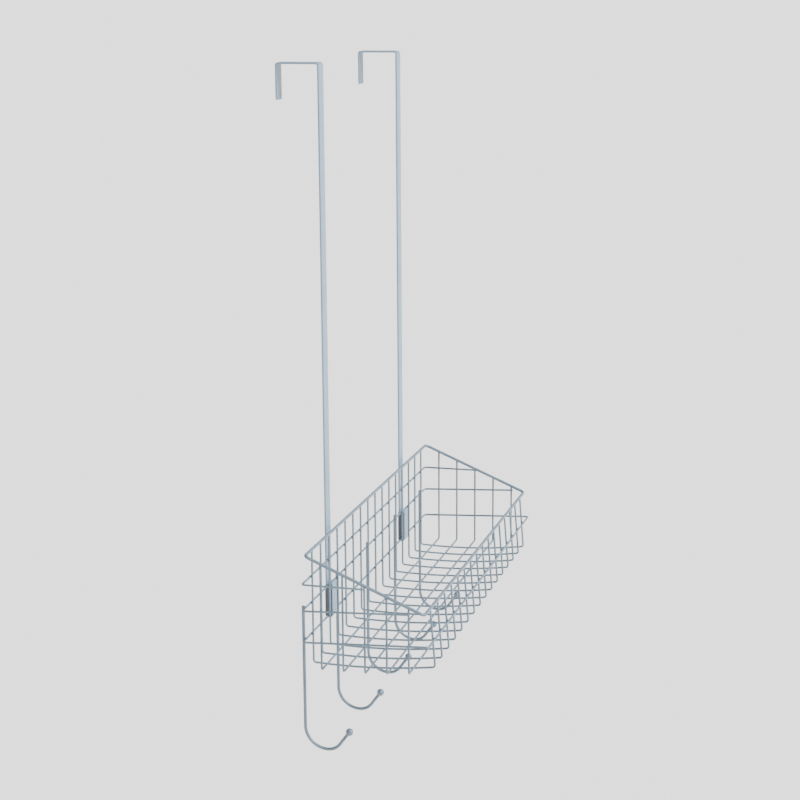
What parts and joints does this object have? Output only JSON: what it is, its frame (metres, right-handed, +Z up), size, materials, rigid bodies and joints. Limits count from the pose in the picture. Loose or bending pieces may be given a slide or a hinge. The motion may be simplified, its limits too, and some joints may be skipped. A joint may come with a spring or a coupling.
{
  "type": "shower caddy",
  "caption": "Long wire basket with ball-tipped hooks under its back wall, hung over a door or screen by two flat-strap hangers that it lifts off.",
  "frame": {"origin": "on top of the door, halfway between the hangers and halfway across the gap that takes the door, in the plane of the hangers' undersides", "axes": "+X along the basket, +Y from the basket through the door to its far side, +Z up"},
  "size_m": [0.4752, 0.1851, 0.7077],
  "materials": {
    "coated_steel": "light blue-grey powder coat, satin",
    "dark_plastic": "dark grey moulded plastic, matte"
  },
  "bodies": {
    "hangers": {"hanger_left": "coated_steel", "hanger_right": "coated_steel"},
    "basket": {"band_ring_lower": "coated_steel", "band_wire_middle": "coated_steel", "band_wire_upper": "coated_steel", "cross_wire_01": "coated_steel", "cross_wire_02": "coated_steel", "cross_wire_03": "coated_steel", "cross_wire_04": "coated_steel", "cross_wire_05": "coated_steel", "cross_wire_06": "coated_steel", "cross_wire_07": "coated_steel", "cross_wire_08": "coated_steel", "cross_wire_09": "coated_steel", "cross_wire_10": "coated_steel", "cross_wire_11": "coated_steel", "cross_wire_12": "coated_steel", "cross_wire_13": "coated_steel", "cross_wire_14": "coated_steel", "cross_wire_15": "coated_steel", "cross_wire_16": "coated_steel", "guide_clip_left": "dark_plastic", "guide_clip_right": "dark_plastic", "hook_1": "coated_steel", "hook_2": "coated_steel", "hook_3": "coated_steel", "hook_4": "coated_steel", "hook_5": "coated_steel", "hook_ball_1": "coated_steel", "hook_ball_2": "coated_steel", "hook_ball_3": "coated_steel", "hook_ball_4": "coated_steel", "hook_ball_5": "coated_steel", "long_wire_1": "coated_steel", "long_wire_2": "coated_steel", "long_wire_3": "coated_steel", "long_wire_4": "coated_steel", "long_wire_5": "coated_steel", "rim": "coated_steel"}
  },
  "joints": [
    {"name": "basket_lift", "type": "slide", "parent": "hangers", "child": "basket", "axis": [0, 0, 1], "range_m": [0, 0.038]}
  ]
}
